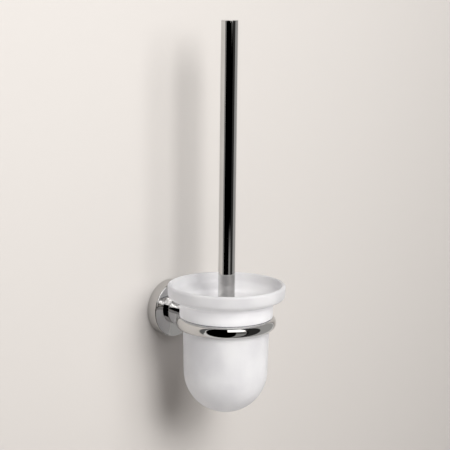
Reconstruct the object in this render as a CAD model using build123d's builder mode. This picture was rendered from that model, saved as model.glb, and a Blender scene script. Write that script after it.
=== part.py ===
"""Wall mounted toilet brush holder: chrome rosette and ring, frosted glass cup, brush on a tube handle.

Millimetres. The origin is the middle of the rosette's wall face. +Z is up, the wall is the plane y = 0 and
the holder stands out of it towards -Y. Ring, liner, cup and brush share one upright axis, reach in front of
the wall, and the ring's middle plane is z = 0.
"""

from build123d import *
import os

# --- Cup: frosted glass ---------------------------------------------------------------------------
body_top_radius = 41.6  # outside of the body, just under the ring
dome_radius = 40.3  # outside of the domed bottom; the body tapers down to it
body_depth = 54.0  # from the shoulder down to the dome's equator
glass_wall = 3.6  # body and dome
rim_wall = 4.0  # neck, collar and lip
foot_radius = 6.0  # small flat under the dome
shoulder_width = 3.05  # step from body to neck; it carries the cup on the liner
shoulder_round = 0.9
neck_height = 13.9
collar_overhang = 11.2  # how far the collar stands out past the neck
collar_rise = 4.75  # how much its underside climbs on the way out
collar_height = 16.9  # from the neck to the rim
collar_flare = 0.65  # how much wider the rim is than the collar's foot
collar_round = 4.0  # corners of the underside and of the floor inside
lip_outer_round = 2.2
lip_inner_round = 1.5
neck_inner_round = 5.0
shoulder_inner_round = 4.0

# --- Ring, liner and arm --------------------------------------------------------------------------
arm_gap = 17.7  # free length of the arm, from its collar to the ring
ring_width = 5.4  # section, inside face to the roundest point
ring_height = 11.0
ring_land = 1.0  # flat top and bottom edge of the D section, next to the inside face
liner_wall = 0.55
liner_lip = 0.5  # thickness of the liner's lip between glass and ring
lip_inset = 0.85  # how far the lip stays back under the glass shoulder
arm_radius = 5.4
spigot_radius = 2.5  # the arm's brazed tenon in the ring
spigot_length = 3.0

# --- Rosette, collar and wall bracket -------------------------------------------------------------
rosette_radius = 28.0
rosette_depth = 12.0
rosette_wall = 2.5
rosette_edge = 1.2
collar_radius = 15.0  # second tier in front of the rosette
collar_depth = 4.3
collar_edge = 0.7
arm_seat_depth = 1.2  # how deep the arm's end sits in the collar
bracket_depth = 8.0
bracket_plate = 3.0  # what is left under the screw heads
groove_depth = 2.0
groove_middle = 4.5  # distance of the V groove and the grub screw from the wall
grub_radius = 2.0
grub_tip_radius = 0.6
grub_recess = 0.5
slot_length = 9.0
wall_screw_radius = 2.2
wall_screw_length = 40.0
wall_screw_head_radius = 4.2
wall_screw_head_height = 2.8
plug_radius = 4.0
plug_length = 38.0
plug_collar = 12.0  # length of the plug that isn't slit
plug_slit = 1.0
plug_web = 1.5  # radius of the middle that the slits leave; the screw opens it as it goes in
plug_groove_depth = 0.5
plug_groove_width = 1.6
plug_groove_count = 4
arm_bolt_radius = 3.0
arm_bolt_length = 20.0
arm_bolt_head_radius = 5.25
arm_bolt_head_height = 3.3
arm_washer_radius = 6.0
arm_washer_thickness = 1.2

# --- Brush ----------------------------------------------------------------------------------------
handle_radius = 8.0
handle_wall = 0.8
handle_length = 281.6  # tube and cap
cap_thickness = 1.2
cap_edge = 0.5
cap_plug_length = 8.0
insert_length = 20.0
stud_radius = 4.0
stud_engagement = 13.0  # thread in the handle
stud_anchor = 15.0  # thread in the head
washer_thickness = 1.0
head_length = 78.3  # bristles, top to tip
hub_height = 10.0
hub_radius = 15.0
core_radius = 7.0
core_tail = 14.0  # how far the core reaches down into the tip

# --- Clearances -----------------------------------------------------------------------------------
liner_to_ring = 0.05  # running fit: the liner turns in the ring
glass_to_liner = 0.40
rest_gap = 0.05  # between faces that only rest on each other
thread_gap = 0.05  # plain cylinders stand for threads
push_gap = 0.05  # plugs and inserts in the tube
bolt_gap = 0.2  # screws in their clearance holes
bracket_gap = 0.4  # bracket in the rosette
head_gap = 1.0  # wall screw heads in their recesses
bore_gap = 2.65  # arm bolt's head in the bracket
bristle_clearance = 1.7  # bristles to glass
tip_clearance = 0.4  # bristle tips to the glass bottom
joint_gap = 0.1  # seal washer to the head's hub

# --- Places that follow ---------------------------------------------------------------------------
neck_radius = body_top_radius + shoulder_width
ring_inner_radius = body_top_radius + glass_to_liner + liner_wall + liner_to_ring
ring_outer_radius = ring_inner_radius + ring_width
ring_top = ring_height / 2
lip_bottom = ring_top + rest_gap
seat_z = lip_bottom + liner_lip + rest_gap
neck_top = seat_z + neck_height
rim_z = neck_top + collar_height
dome_z = seat_z - body_depth
dome_inner_radius = dome_radius - glass_wall
glass_bottom_inside = dome_z - dome_inner_radius

head_radius = dome_inner_radius - bristle_clearance
tip_z = glass_bottom_inside + tip_clearance
tip_equator = tip_z + head_radius
bristle_top = tip_z + head_length
hub_top = bristle_top + hub_height
tube_bottom = hub_top + joint_gap + washer_thickness
handle_top = tube_bottom + handle_length
tube_top = handle_top - cap_thickness
tube_bore_radius = handle_radius - handle_wall
core_bottom = tip_equator - core_tail

collar_front = rosette_depth + collar_depth
ring_back = collar_front + arm_gap
reach = ring_back + ring_outer_radius  # wall to the cup's axis
arm_start = collar_front - arm_seat_depth
rosette_bore_radius = rosette_radius - rosette_wall
rosette_pocket = rosette_depth - rosette_wall
bracket_radius = rosette_bore_radius - bracket_gap
groove_radius = bracket_radius - groove_depth
bracket_bore_radius = arm_bolt_head_radius + bore_gap
screw_site = (bracket_bore_radius + groove_radius) / 2  # half the spacing of the wall screws
bolt_hole_radius = arm_bolt_radius + bolt_gap
bolt_head_face = rosette_pocket - arm_washer_thickness
bolt_end = bolt_head_face + arm_bolt_length
slot_width = 2 * (wall_screw_radius + bolt_gap)
head_recess_width = 2 * (wall_screw_head_radius + head_gap)

WALL = Plane.XZ  # offsets and extrusions run out of the wall, towards -Y
INTO_WALL = -WALL  # the same plane seen from inside the wall
# the plane a lathe profile is drawn in: x is the radius, y is the height
CUP_SECTION = Plane(origin=(0, -reach, 0), x_dir=(1, 0, 0), z_dir=(0, -1, 0))
CUP_AXIS = Axis((0, -reach, 0), (0, 0, 1))
SCREW_SITES = [(-screw_site, 0), (screw_site, 0)]

os.makedirs("parts", exist_ok=True)


def save(piece, label):
    """Labels a finished piece and writes it under that name."""
    piece.label = label
    export_step(piece, f"parts/{label}.step")


def ring_section(inner_radius):
    """Returns the ring's D section, round side outwards, from inner_radius to the ring's outside."""
    arc_start = ring_inner_radius + ring_land
    with BuildSketch(CUP_SECTION) as section:
        with BuildLine():
            EllipticalCenterArc((arc_start, 0), ring_outer_radius - arc_start, ring_top, -90, arc_size=180)
            Polyline(
                (arc_start, ring_top),
                (inner_radius, ring_top),
                (inner_radius, -ring_top),
                (arc_start, -ring_top),
            )
        make_face()
    return section.sketch


# --- Wall mount -----------------------------------------------------------------------------------
with BuildPart() as wall_plugs:
    with BuildSketch(INTO_WALL):
        with Locations(*SCREW_SITES):
            Circle(plug_radius)
    extrude(amount=plug_length)
    with BuildSketch(INTO_WALL.offset(plug_collar)):
        with Locations(*SCREW_SITES):
            Rectangle(2 * plug_radius, plug_slit)
            Rectangle(plug_slit, 2 * plug_radius)
            Circle(plug_web, mode=Mode.SUBTRACT)
    extrude(amount=plug_length - plug_collar, mode=Mode.SUBTRACT)
    groove_pitch = (plug_length - plug_collar) / (plug_groove_count + 1)
    for number in range(1, plug_groove_count + 1):
        with BuildSketch(INTO_WALL.offset(plug_collar + number * groove_pitch - plug_groove_width / 2)):
            with Locations(*SCREW_SITES):
                Circle(plug_radius)
                Circle(plug_radius - plug_groove_depth, mode=Mode.SUBTRACT)
        extrude(amount=plug_groove_width, mode=Mode.SUBTRACT)
save(wall_plugs.part, "wall_plugs")

with BuildPart() as wall_bracket:
    with BuildSketch(WALL):
        Circle(bracket_radius)
        Circle(bracket_bore_radius, mode=Mode.SUBTRACT)
        with Locations(*SCREW_SITES):
            SlotOverall(slot_length, slot_width, rotation=90, mode=Mode.SUBTRACT)
    extrude(amount=bracket_depth)
    with BuildSketch(WALL.offset(bracket_plate)):
        with Locations(*SCREW_SITES):
            SlotOverall(slot_length + head_recess_width - slot_width, head_recess_width, rotation=90)
    extrude(amount=bracket_depth - bracket_plate, mode=Mode.SUBTRACT)
    with BuildSketch(Plane.XY):
        with BuildLine():
            Polyline(
                (bracket_radius, groove_depth - groove_middle),
                (groove_radius, -groove_middle),
                (bracket_radius, -groove_depth - groove_middle),
                close=True,
            )
        make_face()
    revolve(axis=Axis.Y, mode=Mode.SUBTRACT)
    # relief pockets in the wall side, above and below the middle
    with BuildSketch(WALL):
        with BuildLine(mode=Mode.PRIVATE) as pocket_path:
            CenterArc((0, 0), screw_site, 65, 50)
            CenterArc((0, 0), screw_site, 245, 50)
        for arc in pocket_path.edges():
            SlotArc(arc, (groove_radius - bracket_bore_radius) / 2)
    extrude(amount=bracket_plate, mode=Mode.SUBTRACT)
save(wall_bracket.part, "wall_bracket")

with BuildPart() as wall_screws:
    with BuildSketch(WALL.offset(bracket_plate)):
        with Locations(*SCREW_SITES):
            Circle(wall_screw_head_radius)
    extrude(amount=wall_screw_head_height)
    fillet(wall_screws.faces().group_by(Axis.Y)[0].edges(), wall_screw_head_height / 2.2)
    with BuildSketch(-WALL.offset(bracket_plate)):
        with Locations(*SCREW_SITES):
            Circle(wall_screw_radius)
    extrude(amount=wall_screw_length)
    point_edges = wall_screws.faces().group_by(Axis.Y)[-1].edges()
    chamfer(point_edges, 2.5 * wall_screw_radius, 0.8 * wall_screw_radius)
    # cross recess
    with BuildSketch(WALL.offset(bracket_plate + wall_screw_head_height)):
        with Locations(*SCREW_SITES):
            Rectangle(wall_screw_head_radius, 0.2 * wall_screw_head_radius)
            Rectangle(0.2 * wall_screw_head_radius, wall_screw_head_radius)
    extrude(amount=-wall_screw_head_height / 2, mode=Mode.SUBTRACT)
save(wall_screws.part, "wall_screws")

with BuildPart() as rosette:
    with BuildSketch(WALL):
        Circle(rosette_radius)
    extrude(amount=rosette_depth)
    fillet(rosette.faces().sort_by(Axis.Y)[0].edges(), rosette_edge)
    with BuildSketch(WALL):
        Circle(rosette_bore_radius)
    extrude(amount=rosette_pocket, mode=Mode.SUBTRACT)
    with BuildSketch(WALL):
        Circle(bolt_hole_radius)
    extrude(amount=rosette_depth, mode=Mode.SUBTRACT)
    with BuildSketch(Plane.XY.offset(-rosette_radius)):
        with Locations((0, -groove_middle)):
            Circle(grub_radius + thread_gap)
    extrude(amount=rosette_radius, mode=Mode.SUBTRACT)
save(rosette.part, "rosette")

with BuildPart() as grub_screw:
    # the 45 degree cone sits in the bracket's 90 degree groove
    grub_bottom = -rosette_radius + grub_recess
    grub_tip = -groove_radius - grub_tip_radius - rest_gap
    with BuildSketch(Plane.XY.offset(grub_bottom)):
        with Locations((0, -groove_middle)):
            Circle(grub_radius)
    extrude(amount=grub_tip - grub_bottom)
    chamfer(grub_screw.faces().sort_by(Axis.Z)[-1].edges(), grub_radius - grub_tip_radius)
    with BuildSketch(Plane.XY.offset(grub_bottom)):
        with Locations((0, -groove_middle)):
            RegularPolygon(grub_radius / 2, 6, major_radius=False)
    extrude(amount=grub_radius, mode=Mode.SUBTRACT)
save(grub_screw.part, "grub_screw")

with BuildPart() as arm_collar:
    with BuildSketch(WALL.offset(rosette_depth)):
        Circle(collar_radius)
    extrude(amount=collar_depth)
    fillet(arm_collar.faces().sort_by(Axis.Y)[0].edges(), collar_edge)
    with BuildSketch(WALL.offset(rosette_depth)):
        Circle(bolt_hole_radius)
    extrude(amount=collar_depth, mode=Mode.SUBTRACT)
    with BuildSketch(WALL.offset(arm_start)):
        Circle(arm_radius + push_gap)
    extrude(amount=arm_seat_depth, mode=Mode.SUBTRACT)
save(arm_collar.part, "arm_collar")

with BuildPart() as arm:
    with BuildSketch(WALL.offset(arm_start)):
        Circle(arm_radius)
    extrude(amount=ring_back + ring_width - arm_start)
    # the end is coped to the ring's round side
    revolve(ring_section(0), axis=CUP_AXIS, mode=Mode.SUBTRACT)
    with BuildSketch(WALL.offset(ring_back - spigot_length)):
        Circle(spigot_radius)
    extrude(amount=2 * spigot_length)
    with BuildSketch(WALL.offset(arm_start)):
        Circle(arm_bolt_radius + thread_gap)
    extrude(amount=bolt_end + rest_gap - arm_start, mode=Mode.SUBTRACT)
save(arm.part, "arm")

with BuildPart() as arm_bolt:
    with BuildSketch(WALL.offset(bolt_head_face - arm_bolt_head_height)):
        Circle(arm_bolt_head_radius)
    extrude(amount=arm_bolt_head_height)
    fillet(arm_bolt.faces().sort_by(Axis.Y)[-1].edges(), arm_bolt_head_height / 3)
    with BuildSketch(WALL.offset(bolt_head_face)):
        Circle(arm_bolt_radius)
    extrude(amount=arm_bolt_length)
    chamfer(arm_bolt.faces().sort_by(Axis.Y)[0].edges(), arm_bolt_radius / 5)
    with BuildSketch(WALL.offset(bolt_head_face - arm_bolt_head_height)):
        RegularPolygon(0.66 * arm_bolt_radius, 6, major_radius=False)
    extrude(amount=0.6 * arm_bolt_head_height, mode=Mode.SUBTRACT)
save(arm_bolt.part, "arm_bolt")

with BuildPart() as arm_washer:
    with BuildSketch(WALL.offset(bolt_head_face)):
        Circle(arm_washer_radius)
        Circle(bolt_hole_radius, mode=Mode.SUBTRACT)
    extrude(amount=arm_washer_thickness)
save(arm_washer.part, "arm_washer")

with BuildPart() as holder_ring:
    revolve(ring_section(ring_inner_radius), axis=CUP_AXIS)
    with BuildSketch(WALL.offset(ring_back)):
        Circle(spigot_radius)
    extrude(amount=spigot_length + rest_gap, mode=Mode.SUBTRACT)
save(holder_ring.part, "holder_ring")

# --- Cup ------------------------------------------------------------------------------------------
with BuildPart() as ring_liner:
    liner_inside = body_top_radius + glass_to_liner
    liner_outside = ring_inner_radius - liner_to_ring
    with BuildSketch(CUP_SECTION):
        with BuildLine():
            Polyline(
                (liner_inside, -ring_top),
                (liner_outside, -ring_top),
                (liner_outside, lip_bottom),
                (neck_radius - lip_inset, lip_bottom),
                (neck_radius - lip_inset, lip_bottom + liner_lip),
                (liner_inside, lip_bottom + liner_lip),
                close=True,
            )
        make_face()
    revolve(axis=CUP_AXIS)
    fillet(ring_liner.faces().sort_by(Axis.Z)[-1].edges(), liner_lip / 3)
save(ring_liner.part, "ring_liner")

with BuildPart() as glass_cup:
    foot_z = dome_z - (dome_radius**2 - foot_radius**2) ** 0.5
    collar_foot_radius = neck_radius + collar_overhang
    rim_radius = collar_foot_radius + collar_flare
    neck_inner_radius = neck_radius - rim_wall
    body_inner_radius = body_top_radius - glass_wall
    slope_length = (collar_overhang**2 + collar_rise**2) ** 0.5
    floor_lift = rim_wall * (slope_length - collar_rise) / collar_overhang  # keeps the sloped part as thick
    with BuildSketch(CUP_SECTION):
        with BuildLine():
            outer_dome = ThreePointArc(
                (foot_radius, foot_z),
                (dome_radius * 0.5**0.5, dome_z - dome_radius * 0.5**0.5),
                (dome_radius, dome_z),
            )
            FilletPolyline(
                (dome_radius, dome_z),
                (body_top_radius, seat_z),
                (neck_radius, seat_z),
                (neck_radius, neck_top),
                (collar_foot_radius, neck_top + collar_rise),
                (rim_radius, rim_z),
                (rim_radius - rim_wall, rim_z),
                (collar_foot_radius - rim_wall, neck_top + collar_rise + floor_lift),
                (neck_inner_radius, neck_top + floor_lift),
                (neck_inner_radius, seat_z + shoulder_width),
                (body_inner_radius, seat_z - shoulder_width),
                (dome_inner_radius, dome_z),
                radius=[
                    0,
                    shoulder_round,
                    collar_round,
                    collar_round,
                    lip_outer_round,
                    lip_inner_round,
                    collar_round,
                    neck_inner_round,
                    shoulder_inner_round,
                    shoulder_inner_round,
                ],
            )
            inner_dome = ThreePointArc(
                (dome_inner_radius, dome_z),
                (dome_inner_radius * 0.5**0.5, dome_z - dome_inner_radius * 0.5**0.5),
                (0, glass_bottom_inside),
            )
            Polyline((0, glass_bottom_inside), (0, foot_z), (foot_radius, foot_z))
        make_face()
    revolve(axis=CUP_AXIS)
save(glass_cup.part, "glass_cup")

# --- Brush ----------------------------------------------------------------------------------------
with BuildPart() as handle_tube:
    with BuildSketch(Plane.XY.offset(tube_bottom)):
        with Locations((0, -reach)):
            Circle(handle_radius)
            Circle(tube_bore_radius, mode=Mode.SUBTRACT)
    extrude(amount=tube_top - tube_bottom)
save(handle_tube.part, "handle_tube")

with BuildPart() as handle_cap:
    with BuildSketch(Plane.XY.offset(tube_top)):
        with Locations((0, -reach)):
            Circle(handle_radius)
    extrude(amount=cap_thickness)
    fillet(handle_cap.faces().sort_by(Axis.Z)[-1].edges(), cap_edge)
    with BuildSketch(Plane.XY.offset(tube_top - cap_plug_length)):
        with Locations((0, -reach)):
            Circle(tube_bore_radius - push_gap)
            Circle(tube_bore_radius / 2, mode=Mode.SUBTRACT)
    extrude(amount=cap_plug_length)
save(handle_cap.part, "handle_cap")

with BuildPart() as handle_insert:
    with BuildSketch(Plane.XY.offset(tube_bottom)):
        with Locations((0, -reach)):
            Circle(tube_bore_radius - push_gap)
    extrude(amount=insert_length)
    chamfer(handle_insert.faces().sort_by(Axis.Z)[-1].edges(), handle_wall)
    with BuildSketch(Plane.XY.offset(tube_bottom)):
        with Locations((0, -reach)):
            Circle(stud_radius + thread_gap)
    extrude(amount=stud_engagement + rest_gap, mode=Mode.SUBTRACT)
save(handle_insert.part, "handle_insert")

with BuildPart() as seal_washer:
    with BuildSketch(Plane.XY.offset(tube_bottom - washer_thickness)):
        with Locations((0, -reach)):
            Circle(handle_radius)
            Circle(stud_radius + bolt_gap, mode=Mode.SUBTRACT)
    extrude(amount=washer_thickness)
save(seal_washer.part, "seal_washer")

with BuildPart() as head_stud:
    with BuildSketch(Plane.XY.offset(hub_top - stud_anchor)):
        with Locations((0, -reach)):
            Circle(stud_radius)
    extrude(amount=stud_anchor + tube_bottom - hub_top + stud_engagement)
    chamfer(head_stud.edges().filter_by(GeomType.CIRCLE), stud_radius / 6)
save(head_stud.part, "head_stud")

with BuildPart() as head_core:
    with BuildSketch(CUP_SECTION):
        with BuildLine():
            FilletPolyline(
                (0, hub_top),
                (handle_radius + 1, hub_top),
                (hub_radius, bristle_top + hub_height / 3),
                (hub_radius, bristle_top),
                (core_radius, bristle_top),
                (core_radius, core_bottom),
                (0, core_bottom),
                radius=[hub_height / 10, hub_height / 5, hub_height / 10, 0, core_radius / 2],
            )
            Line((0, core_bottom), (0, hub_top))
        make_face()
    revolve(axis=CUP_AXIS)
    with BuildSketch(Plane.XY.offset(hub_top - stud_anchor - rest_gap)):
        with Locations((0, -reach)):
            Circle(stud_radius + thread_gap)
    extrude(amount=stud_anchor + rest_gap, mode=Mode.SUBTRACT)
save(head_core.part, "head_core")

with BuildPart() as side_bristles:
    bristle_inside = core_radius + push_gap
    with BuildSketch(CUP_SECTION):
        with BuildLine():
            FilletPolyline(
                (bristle_inside, tip_equator),
                (bristle_inside, bristle_top - rest_gap),
                (head_radius, bristle_top - rest_gap),
                (head_radius, tip_equator),
                (bristle_inside, tip_equator),
                radius=[0, 0, hub_radius / 2, 0],
            )
        make_face()
    revolve(axis=CUP_AXIS)
save(side_bristles.part, "side_bristles")

with BuildPart() as tip_bristles:
    tip_top = tip_equator - rest_gap
    with BuildSketch(CUP_SECTION):
        with BuildLine():
            CenterArc((0, tip_top), head_radius, -90, 90)
            Polyline(
                (head_radius, tip_top),
                (bristle_inside, tip_top),
                (bristle_inside, core_bottom - rest_gap),
                (0, core_bottom - rest_gap),
                (0, tip_top - head_radius),
            )
        make_face()
    revolve(axis=CUP_AXIS)
save(tip_bristles.part, "tip_bristles")
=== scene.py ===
"""Looks of a wall mounted toilet brush holder: chrome rosette, arm and ring, frosted glass cup, brush.

Metres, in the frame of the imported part: +Z up, the wall is the plane y = 0 and the room is towards -Y.
"""

import logging
import math
from dataclasses import dataclass
from enum import Enum

import bmesh
import bpy
import numpy as np
from mathutils import Matrix, Vector

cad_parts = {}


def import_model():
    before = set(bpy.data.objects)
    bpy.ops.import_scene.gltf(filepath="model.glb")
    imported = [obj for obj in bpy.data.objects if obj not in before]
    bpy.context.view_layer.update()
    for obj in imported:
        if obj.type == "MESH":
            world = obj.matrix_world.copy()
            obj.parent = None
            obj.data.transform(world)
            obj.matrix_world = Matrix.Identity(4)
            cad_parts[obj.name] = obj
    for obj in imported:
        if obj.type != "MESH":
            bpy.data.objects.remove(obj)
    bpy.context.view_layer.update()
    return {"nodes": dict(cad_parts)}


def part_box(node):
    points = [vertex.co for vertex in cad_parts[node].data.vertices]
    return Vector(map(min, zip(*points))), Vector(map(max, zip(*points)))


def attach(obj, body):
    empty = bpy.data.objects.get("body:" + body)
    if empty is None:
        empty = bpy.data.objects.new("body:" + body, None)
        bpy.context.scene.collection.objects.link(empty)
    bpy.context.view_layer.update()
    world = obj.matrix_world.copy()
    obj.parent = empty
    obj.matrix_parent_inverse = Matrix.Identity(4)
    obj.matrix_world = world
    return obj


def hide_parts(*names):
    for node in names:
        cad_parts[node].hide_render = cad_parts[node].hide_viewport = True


LOG = logging.getLogger("brush_holder")
MM = 0.001
Pair = tuple[float, float]
Triple = tuple[float, float, float]
Colour = tuple[float, float, float, float]
Tuft = tuple[Triple, Triple, float]
Socket = bpy.types.NodeSocket
Value = Socket | float | tuple
Nodes = dict[str, bpy.types.Object]


class Slot(Enum):
    """The record's material slots."""

    CHROME = "chrome"
    GLASS = "frosted_glass"
    LINER = "liner_plastic"
    BRISTLE = "bristle_white"
    CORE = "core_plastic"
    RUBBER = "seal_rubber"
    BRASS = "insert_brass"
    STEEL = "screw_steel"
    ZINC = "bracket_zinc"
    NYLON = "plug_nylon"


# --- Node wiring ----------------------------------------------------------------------------------


class Wiring:
    """Adds nodes to a tree and links them."""

    def __init__(self, tree: bpy.types.NodeTree) -> None:
        """Wraps the tree that gets the nodes."""
        self.tree = tree

    def add(self, kind: str, inputs: dict | None = None, **settings: str) -> bpy.types.Node:
        """Adds one node.

        Args:
            kind: The node's Blender type name.
            inputs: Values or sockets by input name or number.
            **settings: The node's own properties.

        Returns:
            The new node.
        """
        node = self.tree.nodes.new(kind)
        for name, value in settings.items():
            setattr(node, name, value)
        for key, value in (inputs or {}).items():
            self.feed(node.inputs[key], value)
        return node

    def feed(self, socket: Socket, value: Value) -> None:
        """Links a socket into an input, or sets the input's own value.

        Args:
            socket: The input.
            value: An output socket or a plain value.
        """
        if isinstance(value, bpy.types.NodeSocket):
            self.tree.links.new(value, socket)
        else:
            socket.default_value = value

    def math(self, operation: str, a: Value, b: Value = 0.0, c: Value = 0.0) -> Socket:
        """Adds a Math node with up to three values and gives its output."""
        return self.add("ShaderNodeMath", {0: a, 1: b, 2: c}, operation=operation).outputs[0]

    def times(self, a: Value, b: Value) -> Socket:
        """Multiplies two values."""
        return self.math("MULTIPLY", a, b)

    def vector(self, operation: str, a: Value, b: Value = (0.0, 0.0, 0.0)) -> Socket:
        """Adds a Vector Math node and gives its vector."""
        return self.add("ShaderNodeVectorMath", {0: a, 1: b}, operation=operation).outputs[0]

    def dot(self, a: Value, b: Value) -> Socket:
        """Gives the dot product of two vectors."""
        return self.add("ShaderNodeVectorMath", {0: a, 1: b}, operation="DOT_PRODUCT").outputs["Value"]

    def scaled(self, a: Value, scale: Value) -> Socket:
        """Gives a vector times a number."""
        return self.add("ShaderNodeVectorMath", {0: a, 3: scale}, operation="SCALE").outputs[0]

    def span(self, value: Socket, low: float, high: float) -> Socket:
        """Rises smoothly from 0 to 1 as a value goes from low to high, and is flat outside them."""
        ends = {0: value, 1: low, 2: high}
        return self.add("ShaderNodeMapRange", ends, interpolation_type="SMOOTHSTEP").outputs[0]

    def blend(self, factor: Value, a: Value, b: Value) -> Socket:
        """Mixes two colours: factor 0 gives the first, 1 the second."""
        return self.add("ShaderNodeMix", {0: factor, 6: a, 7: b}, data_type="RGBA").outputs[2]

    def mixed(self, factor: Value, a: Socket, b: Socket) -> Socket:
        """Mixes two shaders: factor 0 gives the first, 1 the second."""
        return self.add("ShaderNodeMixShader", {0: factor, 1: a, 2: b}).outputs[0]


class Skin(Wiring):
    """The wiring of a new material, with its Principled node and its wearer's coordinates."""

    def __init__(self, name: str) -> None:
        """Makes the material.

        Args:
            name: Its name.
        """
        self.material = bpy.data.materials.new(name)
        self.material.use_nodes = True
        super().__init__(self.material.node_tree)
        self.principled = self.tree.nodes["Principled BSDF"]
        self.coords = self.add("ShaderNodeTexCoord").outputs["Object"]

    def wear(self, looks: dict[str, Value]) -> None:
        """Feeds inputs of the Principled node, given by name."""
        for name, value in looks.items():
            self.feed(self.principled.inputs[name], value)

    def show(self, shader: Socket) -> None:
        """Makes a shader the material's surface."""
        self.feed(self.tree.nodes["Material Output"].inputs["Surface"], shader)

    def along(self, axis: int) -> Socket:
        """Gives one of the wearer's coordinates."""
        return self.add("ShaderNodeSeparateXYZ", {0: self.coords}).outputs[axis]

    def noise(self, scale: float, detail: float = 3, roughness: float = 0.5, squeeze: float = 1) -> Socket:
        """Adds noise in the wearer's own metres.

        Args:
            scale: Lumps to a metre.
            detail: Octaves.
            roughness: Weight of the finer octaves.
            squeeze: How much closer the lumps lie along Z.

        Returns:
            The noise value.
        """
        place = self.coords
        if squeeze != 1.0:
            place = self.add("ShaderNodeMapping", {0: place, 3: (1.0, 1.0, squeeze)}).outputs[0]
        numbers = {"Vector": place, "Scale": scale, "Detail": detail, "Roughness": roughness}
        return self.add("ShaderNodeTexNoise", numbers).outputs[0]

    def bump(self, height: Socket, strength: float, distance: float, under: Socket | None = None) -> Socket:
        """Adds a Bump node.

        Args:
            height: The height.
            strength: Strength from 0 to 1.
            distance: Height in metres.
            under: A bumped normal to build on, if any.

        Returns:
            The bumped normal.
        """
        inputs = {"Height": height, "Strength": strength, "Distance": distance}
        if under is not None:
            inputs["Normal"] = under
        return self.add("ShaderNodeBump", inputs).outputs[0]


def solid(colour: Triple, share: float = 1.0) -> Colour:
    """Gives a share of a colour, with full alpha."""
    return (*(share * c for c in colour), 1.0)


# --- Finishes -------------------------------------------------------------------------------------


@dataclass(frozen=True)
class Finish:
    """A finish that makes its node material once and then hands out the same one."""

    slot: Slot

    def material(self) -> bpy.types.Material:
        """Gives the material, which is made on first use.

        Returns:
            The material.
        """
        name = f"{self.slot.value}_look"
        made = bpy.data.materials.get(name)
        if made is None:
            skin = Skin(name)
            self.lay(skin)
            made = skin.material
        return made

    def lay(self, skin: Skin) -> None:
        """Wires the finish. Each kind of finish has its own way."""
        raise NotImplementedError


@dataclass(frozen=True)
class Chrome(Finish):
    """Polished chrome plate: faint orange peel, polishing hairlines and a breath of haze."""

    slot: Slot = Slot.CHROME
    colour: Triple = (0.62, 0.615, 0.605)
    hazed: float = 0.96
    roughness: float = 0.028

    def lay(self, skin: Skin) -> None:
        """Wires the plate.

        Args:
            skin: The material's wiring.
        """
        haze = skin.noise(45.0, 4.0, 0.6)
        clouds = skin.span(haze, 0.3, 0.7)
        fine = skin.noise(900.0, 2.0)
        hairlines = skin.noise(60.0, 3.0, 0.6, 40.0)
        rough = skin.math("MULTIPLY_ADD", skin.span(haze, 0.45, 0.75), 0.030, self.roughness)
        peel = skin.bump(fine, 0.05, 0.02 * MM)
        skin.wear({
            "Base Color": skin.blend(clouds, solid(self.colour), solid(self.colour, self.hazed)),
            "Metallic": 1.0,
            "Roughness": skin.math("MULTIPLY_ADD", skin.span(hairlines, 0.55, 0.75), 0.020, rough),
            "Normal": skin.bump(hairlines, 0.02, 0.02 * MM, peel),
        })


@dataclass(frozen=True)
class FrostedGlass(Finish):
    """Acid frosted glass: milky, satin, a little uneven in its etch, with a cool body.

    Light that scatters inside the glass is stood in for by a faint glow, by letting some light pass straight
    through for shadows, and by a neck that is a little paler and a collar that is a little deeper.
    """

    slot: Slot = Slot.GLASS
    colour: Triple = (0.67, 0.67, 0.675)
    deep: Triple = (0.5963, 0.59295, 0.6075)
    glow: Triple = (0.088, 0.087, 0.089)
    tint: Triple = (0.95, 0.95, 0.97)
    transmission: float = 0.55
    roughness: float = 0.52
    passing: float = 0.45
    neck_low: Pair = (4 * MM, 8 * MM)
    neck_high: Pair = (24 * MM, 19 * MM)
    neck_paler: float = 0.12
    collar_low: Pair = (20 * MM, 27 * MM)
    collar_deeper: float = -0.08

    def lay(self, skin: Skin) -> None:
        """Wires the glass.

        Args:
            skin: The material's wiring.
        """
        milk = skin.span(skin.noise(38.0, 3.0, 0.55), 0.3, 0.72)
        speck = skin.noise(420.0, 3.0, 0.6)
        grain = skin.noise(2600.0, 2.0)
        height = skin.along(2)
        neck = skin.times(skin.span(height, *self.neck_low), skin.span(height, *self.neck_high))
        tone = skin.math("MULTIPLY_ADD", neck, self.neck_paler, 1.0)
        collar = skin.span(height, *self.collar_low)
        tone = skin.math("MULTIPLY_ADD", collar, self.collar_deeper, tone)
        skin.wear({
            "Base Color": skin.scaled(skin.blend(milk, solid(self.colour), solid(self.deep)), tone),
            "IOR": 1.47,
            "Transmission Weight": skin.math("MULTIPLY_ADD", milk, 0.10, self.transmission - 0.05),
            "Roughness": skin.math("MULTIPLY_ADD", speck, 0.16, self.roughness - 0.08),
            "Specular IOR Level": 0.45,
            "Emission Color": solid(self.glow),
            "Emission Strength": 1.0,
            "Normal": skin.bump(speck, 0.05, 0.2 * MM, skin.bump(grain, 0.12, 0.06 * MM)),
        })
        shadow = skin.add("ShaderNodeLightPath").outputs["Is Shadow Ray"]
        clear = skin.add("ShaderNodeBsdfTransparent", {0: solid(self.tint)}).outputs[0]
        skin.show(skin.mixed(skin.times(shadow, self.passing), skin.principled.outputs[0], clear))


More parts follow.
